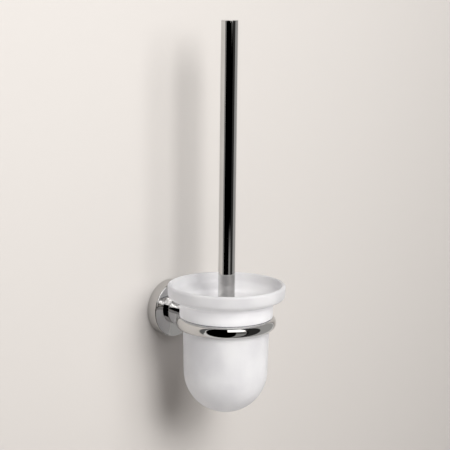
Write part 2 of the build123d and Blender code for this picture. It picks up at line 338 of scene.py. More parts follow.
@dataclass(frozen=True)
class ClearPlastic(Finish):
    """Soft clear liner plastic with flow marks and rubbed places."""

    slot: Slot = Slot.LINER
    colour: Triple = (0.86, 0.88, 0.90)
    flowed: Triple = (0.80, 0.83, 0.86)

    def lay(self, skin: Skin) -> None:
        """Wires the plastic.

        Args:
            skin: The material's wiring.
        """
        flow = skin.noise(140.0, 3.0, 0.5, 6.0)
        rub = skin.noise(700.0, 3.0, 0.6)
        skin.wear({
            "Base Color": skin.blend(skin.span(flow, 0.35, 0.7), solid(self.colour), solid(self.flowed)),
            "Transmission Weight": 0.8,
            "IOR": 1.46,
            "Roughness": skin.math("MULTIPLY_ADD", rub, 0.22, 0.10),
            "Normal": skin.bump(flow, 0.08, 0.1 * MM),
        })


@dataclass(frozen=True)
class BristleNylon(Finish):
    """White nylon filament: slightly see-through, paler towards some tufts than others, with a faint painted
    glow that lifts the shade the filaments cast on each other.
    """

    slot: Slot = Slot.BRISTLE
    colour: Triple = (0.95, 0.95, 0.94)
    dull: Triple = (0.90, 0.90, 0.89)
    bright: Triple = (0.98, 0.98, 0.98)
    # Painted light: a faint even glow that brightens the filaments where they shade each other.
    glow: Triple = (0.05, 0.05, 0.05)

    def lay(self, skin: Skin) -> None:
        """Wires the filament.

        Args:
            skin: The material's wiring.
        """
        tuft = skin.noise(190.0, 2.0)
        strand = skin.noise(1800.0, 2.0)
        shade = skin.blend(skin.span(tuft, 0.35, 0.65), solid(self.colour), solid(self.dull))
        lit = skin.times(skin.span(strand, 0.5, 0.75), 0.35)
        skin.wear({
            "Base Color": skin.blend(lit, shade, solid(self.bright)),
            "Subsurface Weight": 0.35,
            "Subsurface Radius": (1.0, 0.95, 0.9),
            "Subsurface Scale": 1.2 * MM,
            # Painted light: the glow stands in for the light that the filaments' shade on each other takes
            # away.
            "Emission Color": solid(self.glow),
            "Emission Strength": 1.0,
            "Roughness": skin.math("MULTIPLY_ADD", strand, 0.25, 0.25),
            "Normal": skin.bump(strand, 0.15, 0.04 * MM),
        })


@dataclass(frozen=True)
class MouldedPlastic(Finish):
    """Injection moulded plastic with a fine spark texture and sink shading."""

    slot: Slot = Slot.CORE
    colour: Triple = (0.82, 0.82, 0.81)
    roughness: float = 0.32
    grain: float = 1500.0
    sunk: float = 0.86

    def lay(self, skin: Skin) -> None:
        """Wires the plastic.

        Args:
            skin: The material's wiring.
        """
        sink = skin.span(skin.noise(85.0), 0.3, 0.75)
        spark = skin.noise(self.grain, 3.0, 0.6)
        skin.wear({
            "Base Color": skin.blend(sink, solid(self.colour), solid(self.colour, self.sunk)),
            "Roughness": skin.math("MULTIPLY_ADD", spark, 0.25, self.roughness - 0.08),
            "Normal": skin.bump(spark, 0.18, 0.08 * MM),
        })


@dataclass(frozen=True)
class Rubber(Finish):
    """Soft black seal rubber with talc in its pores."""

    slot: Slot = Slot.RUBBER
    colour: Triple = (0.012, 0.012, 0.013)
    dusty: Triple = (0.05, 0.05, 0.05)

    def lay(self, skin: Skin) -> None:
        """Wires the rubber.

        Args:
            skin: The material's wiring.
        """
        pores = skin.noise(2200.0, 4.0, 0.65)
        talc = skin.noise(260.0)
        skin.wear({
            "Base Color": skin.blend(skin.span(talc, 0.5, 0.8), solid(self.colour), solid(self.dusty)),
            "Roughness": skin.math("MULTIPLY_ADD", talc, 0.25, 0.55),
            "Normal": skin.bump(pores, 0.35, 0.1 * MM),
        })


@dataclass(frozen=True)
class TurnedMetal(Finish):
    """Machined or cast metal: tool marks, grain, and dull spots."""

    slot: Slot = Slot.STEEL
    colour: Triple = (0.60, 0.61, 0.63)
    stain: Triple = (0.50, 0.52, 0.56)
    roughness: float = 0.26
    marks: float = 2200.0
    relief: float = 0.24

    def lay(self, skin: Skin) -> None:
        """Wires the metal.

        Args:
            skin: The material's wiring.
        """
        cloud = skin.noise(160.0, 4.0, 0.6)
        pits = skin.noise(self.marks, 3.0, 0.6)
        rough = skin.math("MULTIPLY_ADD", cloud, 0.18, self.roughness)
        skin.wear({
            "Base Color": skin.blend(skin.span(cloud, 0.35, 0.7), solid(self.colour), solid(self.stain)),
            "Metallic": 1.0,
            "Roughness": skin.math("MULTIPLY_ADD", pits, 0.12, rough),
            "Normal": skin.bump(pits, self.relief, 0.08 * MM),
        })


CHROME = Chrome()
GLASS = FrostedGlass()
LINER = ClearPlastic()
BRISTLE = BristleNylon()
CORE = MouldedPlastic()
RUBBER = Rubber()
BRASS = TurnedMetal(Slot.BRASS, (0.80, 0.58, 0.27), (0.62, 0.42, 0.17), 0.22, 2600.0, 0.20)
STEEL = TurnedMetal()
ZINC = TurnedMetal(Slot.ZINC, (0.50, 0.51, 0.53), (0.38, 0.39, 0.41), 0.42, 1300.0, 0.48)
NYLON = MouldedPlastic(Slot.NYLON, (0.36, 0.36, 0.35), 0.46, 900.0)


# --- Turned shapes --------------------------------------------------------------------------------


class Outline:
    """A lathe profile of (radius, height) points, with the true normal at both ends of each segment.

    The profile runs with the material on its left, so that normals point out of the material.
    """

    def __init__(self, start: Pair) -> None:
        """Starts the profile at a point."""
        self.points: list[Pair] = [start]
        self.normals: list[tuple[Pair, Pair]] = []

    def line(self, *corners: Pair) -> "Outline":
        """Adds straight segments.

        Args:
            *corners: The points they run to.

        Returns:
            The outline itself.
        """
        for corner in corners:
            dr, dz = corner[0] - self.points[-1][0], corner[1] - self.points[-1][1]
            length = math.hypot(dr, dz)
            if length > 1e-7:
                normal = (dz / length, -dr / length)
                self.points.append((corner[0], corner[1]))
                self.normals.append((normal, normal))
        return self

    def arc(self, centre: Pair, radii: Pair, start: float, end: float, steps: int = 8) -> "Outline":
        """Adds an arc of a circle or an upright ellipse. It is concave where the angle falls.

        Args:
            centre: Its centre.
            radii: Its half width and half height.
            start: First angle, in degrees from outwards towards up.
            end: Last angle.
            steps: Segments.

        Returns:
            The outline itself.
        """
        side = 1.0 if end > start else -1.0
        spots = []
        for angle in np.radians(np.linspace(start, end, steps + 1)):
            c, s = math.cos(angle), math.sin(angle)
            nr, nz = c / radii[0], s / radii[1]
            size = math.hypot(nr, nz)
            point = (centre[0] + radii[0] * c, centre[1] + radii[1] * s)
            spots.append((point, (side * nr / size, side * nz / size)))
        self.line(spots[0][0])
        for (_, first), (point, second) in zip(spots, spots[1:]):
            self.points.append(point)
            self.normals.append((first, second))
        return self

    def rounded(self, *corners: tuple[float, ...], steps: int = 8) -> "Outline":
        """Adds straight segments whose corners may be rounded.

        Args:
            *corners: Radius and height of each corner after the current end, then the radius of its rounding
                where it has one. The last corner is the new end.
            steps: Segments in each rounding.

        Returns:
            The outline itself.
        """
        path = [np.array(self.points[-1]), *(np.array(c[:2]) for c in corners)]
        for before, corner, after, given in zip(path, path[1:], path[2:], corners):
            if len(given) < 3:
                self.line(tuple(corner))
                continue
            radius = given[2]
            u = (before - corner) / np.linalg.norm(before - corner)
            v = (after - corner) / np.linalg.norm(after - corner)
            half = math.acos(float(u @ v)) / 2
            centre = corner + (u + v) / np.linalg.norm(u + v) * radius / math.sin(half)
            ends = [corner + side * radius / math.tan(half) for side in (u, v)]
            first, last = (math.degrees(math.atan2(*(e - centre)[::-1])) for e in ends)
            last += 360 * round((first - last) / 360)
            self.arc(tuple(centre), (radius, radius), first, last, steps)
        return self.line(tuple(path[-1]))

    def halved(self, low: float, high: float, longest: float) -> "Outline":
        """Cuts the straight runs between two heights into short segments, as a thread needs.

        Args:
            low: Lowest height of the cut part.
            high: Highest height of the cut part.
            longest: Longest segment there.

        Returns:
            A new outline.
        """
        fine = Outline(self.points[0])
        for end, normals in zip(self.points[1:], self.normals):
            start = fine.points[-1]
            inside = low - 1e-9 <= min(start[1], end[1]) and max(start[1], end[1]) <= high + 1e-9
            cut = inside and start[0] > 0 and end[0] > 0
            pieces = max(1, math.ceil(math.dist(start, end) / longest)) if cut else 1
            for k in range(1, pieces + 1):
                t = k / pieces
                fine.points.append((start[0] + (end[0] - start[0]) * t, start[1] + (end[1] - start[1]) * t))
                fine.normals.append(normals)
        return fine


@dataclass(frozen=True)
class Lathe:
    """Turns an outline about an axis into a mesh with true normals.

    Attributes:
        centre: A point on the axis, which is height 0.
        axis: The direction of rising height.
        side: The direction of radius at the seam.
        steps: Segments to a turn.
    """

    centre: Triple = (0.0, 0.0, 0.0)
    axis: Triple = (0.0, 0.0, 1.0)
    side: Triple = (1.0, 0.0, 0.0)
    steps: int = 96

    def frame(self) -> np.ndarray:
        """Gives the turning frame, with rows side, across and axis."""
        return np.array([self.side, np.cross(self.axis, self.side), self.axis], float)

    def surface(self, outline: Outline) -> tuple[np.ndarray, list[list[int]], np.ndarray]:
        """Turns an outline into vertices, faces and corner normals.

        Args:
            outline: A closed loop, or a path with both ends on the axis.

        Returns:
            Vertices, faces and one normal for each face corner.
        """
        turn = np.linspace(0, 2 * math.pi, self.steps, endpoint=False)
        around = np.stack([np.cos(turn), np.sin(turn)], 1)
        vertices, rows, faces, corners = [], [], [], []
        points = outline.points
        looped = math.dist(points[0], points[-1]) < 1e-7
        for r, z in points[:-1] if looped else points:
            first = len(vertices)
            if r < 1e-9:
                vertices.append((0.0, 0.0, z))
                rows.append([first] * self.steps)
            else:
                vertices.extend((r * c, r * s, z) for c, s in around)
                rows.append(list(range(first, first + self.steps)))
        if looped:
            rows.append(rows[0])
        for low, high, (n0, n1) in zip(rows, rows[1:], outline.normals):
            for j in range(self.steps):
                k = (j + 1) % self.steps
                face = [(low[j], j, n0), (low[k], k, n0), (high[k], k, n1), (high[j], j, n1)]
                kept = [c for i, c in enumerate(face) if c[0] != face[i - 1][0]]
                faces.append([c[0] for c in kept])
                corners.extend((n[0] * around[m][0], n[0] * around[m][1], n[1]) for _, m, n in kept)
        return np.array(vertices, float), faces, np.array(corners, float)

    def turn(self, name: str, outline: Outline) -> bpy.types.Object:
        """Makes a mesh object.

        Args:
            name: The object's name.
            outline: What is turned.

        Returns:
            The object, at the origin with its place in its mesh.
        """
        vertices, faces, normals = self.surface(outline)
        basis = self.frame()
        return mesh_object(name, vertices @ basis + np.array(self.centre), faces, normals @ basis)


def mesh_object(
    name: str, vertices: np.ndarray, faces: list[list[int]], normals: np.ndarray | None = None
) -> bpy.types.Object:
    """Makes a smooth mesh object in the scene.

    Args:
        name: The object's name.
        vertices: Vertex places.
        faces: Vertex numbers of each face.
        normals: One normal for each face corner, if they are known.

    Returns:
        The object.
    """
    mesh = bpy.data.meshes.new(name)
    mesh.from_pydata(vertices.tolist(), [], faces)
    mesh.update()
    mesh.polygons.foreach_set("use_smooth", [True] * len(mesh.polygons))
    if normals is not None:
        mesh.normals_split_custom_set(normals.tolist())
    piece = bpy.data.objects.new(name, mesh)
    bpy.context.scene.collection.objects.link(piece)
    return piece


def joined(name: str, pieces: list[bpy.types.Object]) -> bpy.types.Object:
    """Joins meshes into the first piece and removes the others.

    Args:
        name: The joined object's name.
        pieces: The objects.

    Returns:
        The one object.
    """
    whole = bmesh.new()
    for piece in pieces:
        whole.from_mesh(piece.data)
    whole.to_mesh(pieces[0].data)
    whole.free()
    for piece in pieces[1:]:
        bpy.data.objects.remove(piece)
    pieces[0].name = pieces[0].data.name = name
    return pieces[0]


def dress(piece: bpy.types.Object, finish: Finish) -> None:
    """Gives a piece its finish.

    Args:
        piece: The object.
        finish: Its finish.
    """
    if not piece.data.materials:
        piece.data.materials.append(None)
    for place in piece.material_slots:
        place.material = finish.material()


def fit(piece: bpy.types.Object, body: str, finish: Finish, node: str) -> None:
    """Dresses a new piece, hangs it on its body and puts it in the place of a CAD node.

    Args:
        piece: The object.
        body: The CAD body that it rides on.
        finish: Its finish.
        node: The CAD node that it stands for.
    """
    dress(piece, finish)
    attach(piece, body)
    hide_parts(node)
    LOG.info("%s: %d faces on %s", piece.name, len(piece.data.polygons), body)


def keep(nodes: Nodes, finishes: dict[str, Finish]) -> None:
    """Dresses the CAD nodes that keep their own meshes.

    Args:
        nodes: The CAD nodes by name.
        finishes: The finish of each node that is kept.
    """
    for name, finish in finishes.items():
        dress(nodes[name], finish)
        LOG.info("%s: kept from CAD", name)


@dataclass(frozen=True)
class Box:
    """The box that a CAD node fills, by its lowest and its highest corner."""

    low: Vector
    high: Vector

    @classmethod
    def of(cls, node: str) -> "Box":
        """Reads a node's box."""
        return cls(*(Vector(corner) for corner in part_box(node)))

    @property
    def radius(self) -> float:
        """Half the width: the radius of a piece that is round about an upright axis."""
        return (self.high.x - self.low.x) / 2

    @property
    def height(self) -> float:
        """The height."""
        return self.high.z - self.low.z

    @property
    def axis(self) -> float:
        """The y of the upright axis through the middle."""
        return ((self.low + self.high) / 2).y

    def lathe(self, steps: int, foot: float = 0.0) -> Lathe:
        """Gives a lathe on the upright axis, with its height 0 at the foot."""
        return Lathe((0.0, self.axis, foot), steps=steps)


# --- Geometry Nodes -------------------------------------------------------------------------------


class Grower(Wiring):
    """A Geometry Nodes tree that is run once on a mesh, whose result stays as a plain mesh."""

    title = "grower"
    numbers: dict[str, str] = {}

    def __init__(self) -> None:
        """Builds the tree."""
        super().__init__(bpy.data.node_groups.new(self.title, "GeometryNodeTree"))
        face = self.tree.interface
        for name, kind in {"Geometry": "Geometry", **self.numbers, "Material": "Material"}.items():
            face.new_socket(name=name, in_out="INPUT", socket_type=f"NodeSocket{kind}")
        face.new_socket(name="Geometry", in_out="OUTPUT", socket_type="NodeSocketGeometry")
        self.given = self.add("NodeGroupInput").outputs
        real = self.add("GeometryNodeRealizeInstances", {0: self.grow()}).outputs[0]
        dressing = {"Geometry": real, "Material": self.given["Material"]}
        dressed = self.add("GeometryNodeSetMaterial", dressing).outputs[0]
        self.add("NodeGroupOutput", {0: dressed})

    def grow(self) -> Socket:
        """Builds the middle of the tree and gives the grown geometry. Each tree has its own."""
        raise NotImplementedError

    def named(self, name: str, kind: str) -> Socket:
        """Reads an attribute of a data type."""
        return self.add("GeometryNodeInputNamedAttribute", {"Name": name}, data_type=kind).outputs[0]

    def stored(self, geometry: Socket, name: str, value: Socket, kind: str) -> Socket:
        """Stores a value of a data type as an attribute of the geometry's points."""
        inputs = {"Geometry": geometry, "Name": name, "Value": value}
        return self.add("GeometryNodeStoreNamedAttribute", inputs, data_type=kind, domain="POINT").outputs[0]

    def moved(self, geometry: Socket, offset: Socket) -> Socket:
        """Moves the geometry's points by an offset."""
        return self.add("GeometryNodeSetPosition", {"Geometry": geometry, "Offset": offset}).outputs[0]

    def run(self, seedling: bpy.types.Object, finish: Finish, values: dict[str, float | int]) -> None:
        """Grows a mesh object and keeps only the result.

        Args:
            seedling: The object whose mesh is the input. It gets the grown mesh.
            finish: The finish set in the tree.
            values: The tree's named inputs.
        """
        modifier = seedling.modifiers.new(self.title, "NODES")
        modifier.node_group = self.tree
        for item in self.tree.interface.items_tree:
            if item.in_out == "INPUT" and item.name in values:
                modifier[item.identifier] = values[item.name]
            elif item.in_out == "INPUT" and item.name == "Material":
                modifier[item.identifier] = finish.material()
        bpy.context.view_layer.update()
        graph = bpy.context.evaluated_depsgraph_get()
        seen = seedling.evaluated_get(graph)
        grown = bpy.data.meshes.new_from_object(seen, preserve_all_data_layers=True, depsgraph=graph)
        grown.name = seedling.name
        seedling.modifiers.clear()
        seedling.data = grown


class TuftField(Grower):
    """Grows a fanned tuft of wavy filaments from each root point.

    Roots carry "aim", the tuft's direction, and "reach", its length.
    """

    title = "tuft_field"
    numbers = {
        "Filaments": "Int",
        "Bundle": "Float",
        "Fan": "Float",
        "Thickness": "Float",
        "Ragged": "Float",
        "Wave": "Float",
        "Seed": "Int",
    }
    wave_scale = 110.0

    def roots(self) -> Socket:
        """Copies each root for its filaments, spreads the copies and stores their chances on them.

        Returns:
            The root points, with "splay" and "luck".
        """
        given = self.given
        inputs = {"Geometry": given["Geometry"], "Amount": given["Filaments"]}
        copies = self.add("GeometryNodeDuplicateElements", inputs, domain="POINT").outputs[0]
        index = self.add("GeometryNodeInputIndex").outputs[0]
        inputs = {0: (-1, -1, -1), 1: (1, 1, 1), "ID": index, "Seed": given["Seed"]}
        chance = self.add("FunctionNodeRandomValue", inputs, data_type="FLOAT_VECTOR").outputs[0]
        inputs = {2: 0.0, 3: 1.0, "ID": index, "Seed": self.math("ADD", given["Seed"], 7)}
        luck = self.add("FunctionNodeRandomValue", inputs, data_type="FLOAT").outputs[1]
        aim = self.named("aim", "FLOAT_VECTOR")
        across = self.vector("SUBTRACT", chance, self.scaled(aim, self.dot(chance, aim)))
        kept = self.stored(copies, "splay", across, "FLOAT_VECTOR")
        kept = self.stored(kept, "luck", luck, "FLOAT")
        return self.moved(kept, self.scaled(across, given["Bundle"]))

    def filament(self) -> Socket:
        """Makes one straight filament of unit size that knows the height of its points.

        Returns:
            The filament.
        """
        sizes = {"Vertices": 3, "Side Segments": 4, "Radius Top": 0.4, "Radius Bottom": 0.5, "Depth": 1.0}
        cone = self.add("GeometryNodeMeshCone", sizes, fill_type="NONE").outputs["Mesh"]
        place = self.add("GeometryNodeInputPosition").outputs[0]
        height = self.add("ShaderNodeSeparateXYZ", {0: place}).outputs[2]
        return self.stored(cone, "height", height, "FLOAT")

    def grow(self) -> Socket:
        """Plants a filament on every root, leaning and trimmed by its chances, and makes it wavy.

        Returns:
            The filaments.
        """
        given = self.given
        roots = self.roots()
        fan = self.scaled(self.named("splay", "FLOAT_VECTOR"), given["Fan"])
        lean = self.vector("NORMALIZE", self.vector("ADD", self.named("aim", "FLOAT_VECTOR"), fan))
        facing = self.add("FunctionNodeAlignRotationToVector", {"Vector": lean}, axis="Z").outputs[0]
        loss = self.times(self.named("luck", "FLOAT"), given["Ragged"])
        length = self.times(self.named("reach", "FLOAT"), self.math("SUBTRACT", 1.0, loss))
        wide = given["Thickness"]
        scale = self.add("ShaderNodeCombineXYZ", {0: wide, 1: wide, 2: length}).outputs[0]
        planting = {"Points": roots, "Instance": self.filament(), "Rotation": facing, "Scale": scale}
        planted = self.add("GeometryNodeInstanceOnPoints", planting).outputs[0]
        real = self.add("GeometryNodeRealizeInstances", {0: planted}).outputs[0]
        place = self.add("GeometryNodeInputPosition").outputs[0]
        inputs = {"Vector": place, "Scale": self.wave_scale, "Detail": 2.0}
        wobble = self.add("ShaderNodeTexNoise", inputs).outputs[1]
        centred = self.vector("SUBTRACT", wobble, (0.5, 0.5, 0.5))
        rise = self.named("height", "FLOAT")
        bend = self.scaled(centred, self.times(self.times(rise, rise), given["Wave"]))
        return self.add("GeometryNodeSetShadeSmooth", {0: self.moved(real, bend)}).outputs[0]


@dataclass(frozen=True)
class Thread:
    """A thread on part of a shaft.

    Attributes:
        low: Height where it starts.
        high: Height where it ends.
        pitch: Travel of one turn.
        depth: Depth of the groove.
        core: Radius below which nothing is cut.
    """

    low: float
    high: float
    pitch: float
    depth: float
    core: float


class ThreadCutter(Grower):
    """Cuts a V thread into a steel shaft that stands on the Z axis at the origin."""

    title = "cut_thread"
    numbers = {"Pitch": "Float", "Depth": "Float", "Low": "Float", "High": "Float", "Core": "Float"}
    rows_in_pitch = 6
    sharp_angle = 38.0

    def turns_from(self, a: Value, b: Value) -> Socket:
        """Gives the number of pitches from height b up to height a."""
        return self.math("DIVIDE", self.math("SUBTRACT", a, b), self.given["Pitch"])

    def grow(self) -> Socket:
        """Pulls the points of the shaft's outside inwards by the groove's depth at their turn.

        Returns:
            The cut shaft.
        """
        given = self.given
        place = self.add("GeometryNodeInputPosition").outputs[0]
        x, y, z = self.add("ShaderNodeSeparateXYZ", {0: place}).outputs
        turns = self.math("DIVIDE", self.math("ARCTAN2", y, x), 2 * math.pi)
        phase = self.math("FRACT", self.math("SUBTRACT", self.math("DIVIDE", z, given["Pitch"]), turns))
        groove = self.math("ABSOLUTE", self.math("MULTIPLY_ADD", phase, 2.0, -1.0))
        up, down = self.turns_from(z, given["Low"]), self.turns_from(given["High"], z)
        inside = self.math("MINIMUM", self.math("MINIMUM", up, down), 1.0)
        radius = self.math("SQRT", self.math("ADD", self.times(x, x), self.times(y, y)))
        outer = self.math("GREATER_THAN", radius, given["Core"])
        cut = self.times(self.times(groove, self.math("MAXIMUM", inside, 0.0)), outer)
        share = self.math("DIVIDE", self.times(cut, given["Depth"]), self.math("MAXIMUM", radius, 1e-6))
        share = self.times(share, -1.0)
        inwards = self.add("ShaderNodeCombineXYZ", {0: self.times(x, share), 1: self.times(y, share)})
        return self.moved(given["Geometry"], inwards.outputs[0])

    def shaft(self, name: str, lathe: Lathe, outline: Outline, thread: Thread) -> bpy.types.Object:
        """Turns a shaft, cuts its thread and puts it in place.

        Args:
            name: The object's name.
            lathe: Where it goes.
            outline: Its profile.
            thread: Its thread.

        Returns:
            The object.
        """
        flat = outline.halved(thread.low, thread.high, thread.pitch / self.rows_in_pitch)
        vertices, faces, _ = Lathe(steps=lathe.steps).surface(flat)
        piece = mesh_object(name, vertices, faces)
        self.run(piece, STEEL, {field.title(): value for field, value in vars(thread).items()})
        rows = lathe.frame()
        piece.data.transform(Matrix([(*rows[:, i], lathe.centre[i]) for i in range(3)] + [(0, 0, 0, 1)]))
        piece.data.set_sharp_from_angle(angle=math.radians(self.sharp_angle))
        return piece


# --- Sub-assemblies -------------------------------------------------------------------------------


def ring_axis() -> float:
    """Gives the y of the upright axis that the ring, the cup and the brush share."""
    ring = Box.of("holder_ring")
    return ring.low.y + ring.radius


@dataclass(frozen=True)
class WallMount:
    """Rosette, bracket, fixings and arm on the wall, and the ring at the arm's end."""

    body: str = "wall_mount"
    ring_inner: float = 42.6 * MM
    ring_land: float = 1.0 * MM
    ring_edge: float = 0.18 * MM
    arm_radius: float = 5.4 * MM
    arm_sink: float = 0.25 * MM
    solder: float = 0.9 * MM
    solder_start: float = 0.9
    screw_radius: float = 2.2 * MM
    screw_head: float = 4.2 * MM
    screw_head_height: float = 2.8 * MM
    screw_crown: float = 1.3 * MM
    screw_point: float = 5.5 * MM
    screw_tip: float = 0.45 * MM
    bolt_radius: float = 3.0 * MM
    bolt_head: float = 3.3 * MM
    bolt_crown: float = 0.9 * MM
    bolt_lead: float = 0.6 * MM
    socket_radius: float = 2.1 * MM
    socket_depth: float = 2.0 * MM
    socket_lead: float = 0.25 * MM
    head_edge: float = 0.15 * MM
    thread_gap: float = 2.0 * MM

    def ring(self) -> bpy.types.Object:
        """Makes the ring's D section as one loop, flat inside and round outside.

        Returns:
            The ring.
        """
        box = Box.of("holder_ring")
        top = box.height / 2
        start, edge = self.ring_inner + self.ring_land, self.ring_edge
        seam = (self.ring_inner + edge, -top)
        section = Outline(seam).line((start, -top))
        section.arc((start, 0.0), (box.radius - start, top), -90, 90, 40)
        section.rounded((self.ring_inner, top, edge), (self.ring_inner, -top, edge), seam, steps=3)
        centre = (0.0, ring_axis(), (box.low.z + box.high.z) / 2)
        return Lathe(centre, steps=192).turn("ring", section)

    def arm(self) -> bpy.types.Object:
        """Makes the arm: a rod whose end is coped to the ring, with a fine solder fillet.

        Returns:
            The arm.
        """
        root, ring = Box.of("arm").high.y, Box.of("holder_ring")
        outer, top, axis = ring.high.x, ring.height / 2, ring_axis()
        start = self.ring_inner + self.ring_land
        steps, rows = 96, 26
        vertices, faces = [], []
        for i in range(rows + 1):
            t = i / rows
            climb = max(0.0, (t - self.solder_start) / (1 - self.solder_start))
            swell = self.arm_radius + self.solder * climb ** 2
            for j in range(steps):
                phi = 2 * math.pi * j / steps
                x, z = swell * math.cos(phi), swell * math.sin(phi)
                bulge = math.sqrt(max(0.0, 1 - min(1.0, abs(z) / top) ** 2))
                reach = start + (outer - start) * bulge - self.arm_sink
                end = axis + math.sqrt(max(0.0, reach * reach - x * x))
                vertices.append((x, root + (end - root) * t, z))
        for i in range(rows):
            for j in range(steps):
                k = (j + 1) % steps
                faces.append([i * steps + j, i * steps + k, (i + 1) * steps + k, (i + 1) * steps + j])
        return mesh_object("arm_rod", np.array(vertices), faces)

    def screws(self, cutter: ThreadCutter) -> bpy.types.Object:
        """Makes the two pan head wall screws with a coarse thread and a point.

        Args:
            cutter: The tree that cuts threads.

        Returns:
            Both screws as one piece.
        """
        box = Box.of("wall_screws")
        wide, head, length = self.screw_head, self.screw_head_height, box.high.y - box.low.y
        line = Outline((0.0, 0.0)).rounded(
            (wide, 0.0, self.screw_crown),
            (wide, head, self.head_edge),
            (self.screw_radius, head),
            (self.screw_radius, length - self.screw_point),
            (self.screw_tip, length),
            (0.0, length),
        )
        thread = Thread(head + self.thread_gap, length - 1.0 * MM, 1.7 * MM, 0.55 * MM, 0.3 * MM)
        made = []
        for side in (-1, 1):
            lathe = Lathe((side * (box.high.x - wide), box.low.y, 0.0), (0.0, 1.0, 0.0), steps=48)
            made.append(cutter.shaft("wall_screw", lathe, line, thread))
        return joined("wall_screw_pair", made)

    def bolt(self, cutter: ThreadCutter) -> bpy.types.Object:
        """Makes the socket head bolt that holds the arm.

        Args:
            cutter: The tree that cuts threads.

        Returns:
            The bolt.
        """
        box = Box.of("arm_bolt")
        head, length, wide, socket = self.bolt_head, box.high.y - box.low.y, box.radius, self.socket_radius
        line = Outline((0.0, self.socket_depth))
        line.line((socket, self.socket_depth), (socket, self.socket_lead), (socket + self.socket_lead, 0.0))
        line.rounded(
            (wide, 0.0, self.bolt_crown),
            (wide, head, self.head_edge),
            (self.bolt_radius, head),
            (self.bolt_radius, length - self.bolt_lead),
            (self.bolt_radius - self.bolt_lead, length),
            (0.0, length),
        )
        lathe = Lathe((0.0, box.high.y, 0.0), (0.0, -1.0, 0.0), steps=60)
        thread = Thread(head + self.thread_gap, length - 0.2 * MM, 1.0 * MM, 0.5 * MM, 2.2 * MM)
        return cutter.shaft("arm_bolt_turned", lathe, line, thread)

    def build(self, nodes: Nodes, cutter: ThreadCutter) -> None:
        """Builds and dresses everything on the wall.

        Args:
            nodes: The CAD nodes by name.
            cutter: The tree that cuts threads.
        """
        fit(self.ring(), self.body, CHROME, "holder_ring")
        fit(self.arm(), self.body, CHROME, "arm")
        fit(self.screws(cutter), self.body, STEEL, "wall_screws")
        fit(self.bolt(cutter), self.body, STEEL, "arm_bolt")
        keep(nodes, {"rosette": CHROME, "arm_collar": CHROME, "wall_bracket": ZINC})
        keep(nodes, {"wall_plugs": NYLON, "grub_screw": STEEL, "arm_washer": STEEL})


@dataclass(frozen=True)
class Cup:
    """The frosted glass cup and the clear liner that it sits on."""

    body_top: float = 41.6 * MM
    dome: float = 40.3 * MM
    dome_drop: float = 54.0 * MM
    wall: float = 3.6 * MM
    rim_wall: float = 4.0 * MM
    shoulder: float = 3.05 * MM
    neck_height: float = 13.9 * MM
    overhang: float = 11.2 * MM
    rise: float = 4.75 * MM
    collar_height: float = 16.9 * MM
    flare: float = 0.65 * MM
    foot: float = 6.0 * MM
    foot_hollow: float = 0.35 * MM
    foot_round: float = 0.8 * MM
    seat_round: float = 0.9 * MM
    neck_foot_round: float = 0.6 * MM
    collar_round: float = 4.0 * MM
    lip_outer_round: float = 2.2 * MM
    lip_inner_round: float = 1.5 * MM
    neck_inner_round: float = 5.0 * MM
    shoulder_inner_round: float = 4.0 * MM
    liner_radius: float = 42.55 * MM
    liner_wall: float = 0.55 * MM
    liner_lip: float = 0.5 * MM
    liner_edge: float = 0.15 * MM
    liner_lip_round: float = 0.2 * MM

    def glass(self) -> bpy.types.Object:
        """Makes the cup: foot, dome, body, shoulder, neck, flared collar, lip and the inside.

        Returns:
            The cup.
        """
        box = Box.of("glass_cup")
        rim, sole = box.high.z, box.low.z
        neck_top = rim - self.collar_height
        seat = neck_top - self.neck_height
        dome_z = seat - self.dome_drop
        neck = self.body_top + self.shoulder
        collar = neck + self.overhang
        lift = self.rim_wall * (math.hypot(self.overhang, self.rise) - self.rise) / self.overhang
        inner, lip = self.dome - self.wall, collar + self.flare
        start = -math.degrees(math.acos(self.foot / self.dome))
        line = Outline((0.0, sole + self.foot_hollow))
        hollow_edge = (0.5 * self.foot, sole + self.foot_hollow)
        line.rounded(hollow_edge, (0.8 * self.foot, sole, self.foot_round), (self.foot, sole), steps=4)
        line.arc((0.0, dome_z), (self.dome, self.dome), start, 0, 44)
        line.rounded(
            (self.body_top, seat, self.seat_round),
            (neck, seat, self.neck_foot_round),
            (neck, neck_top, self.collar_round),
            (collar, neck_top + self.rise, self.collar_round),
            (lip, rim, self.lip_outer_round),
            (lip - self.rim_wall, rim, self.lip_inner_round),
            (collar - self.rim_wall, neck_top + self.rise + lift, self.collar_round),
            (neck - self.rim_wall, neck_top + lift, self.neck_inner_round),
            (neck - self.rim_wall, seat + self.shoulder, self.shoulder_inner_round),
            (self.body_top - self.wall, seat - self.shoulder, self.shoulder_inner_round),
            (inner, dome_z),
            steps=10,
        )
        line.arc((0.0, dome_z), (inner, inner), 0, -90, 44)
        return box.lathe(192).turn("frosted_cup", line)

    def liner(self) -> bpy.types.Object:
        """Makes the liner: a thin sleeve in the ring with a lip on top.

        Returns:
            The liner.
        """
        box = Box.of("ring_liner")
        low, high, outer, edge = box.low.z, box.high.z, self.liner_radius, self.liner_edge
        seam = (outer - self.liner_wall / 2, low)
        line = Outline(seam).rounded(
            (outer, low, edge),
            (outer, high - self.liner_lip),
            (box.radius, high - self.liner_lip, edge),
            (box.radius, high, self.liner_lip_round),
            (outer - self.liner_wall, high, edge),
            (outer - self.liner_wall, low, edge),
            seam,
            steps=4,
        )
        return box.lathe(160).turn("liner_sleeve", line)

    def build(self) -> None:
        """Builds and dresses the cup and its liner."""
        fit(self.liner(), "liner", LINER, "ring_liner")
        fit(self.glass(), "cup", GLASS, "glass_cup")


